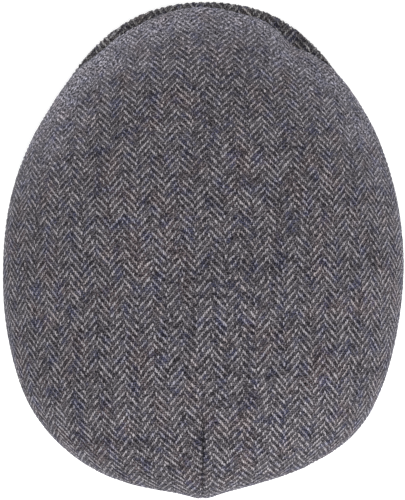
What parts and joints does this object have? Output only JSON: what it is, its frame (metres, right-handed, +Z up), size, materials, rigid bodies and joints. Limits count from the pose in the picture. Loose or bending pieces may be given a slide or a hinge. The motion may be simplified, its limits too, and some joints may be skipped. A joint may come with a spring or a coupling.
{
  "type": "flat cap",
  "caption": "Soft tweed flat cap with a one-piece crown that falls forward onto a short curved peak, hollow and open below for the head.",
  "frame": {"origin": "on the surface the cap rests on, under the middle of its bounding box", "axes": "+Z up, the peak points to -Y, +X is the wearer's left"},
  "size_m": [0.2176, 0.27, 0.108],
  "materials": {
    "tweed": "matt brushed wool in a grey herringbone twill"
  },
  "bodies": {
    "root": {"crown_top": "tweed", "side_panel_left": "tweed", "side_panel_right": "tweed", "peak": "tweed"}
  },
  "joints": []
}
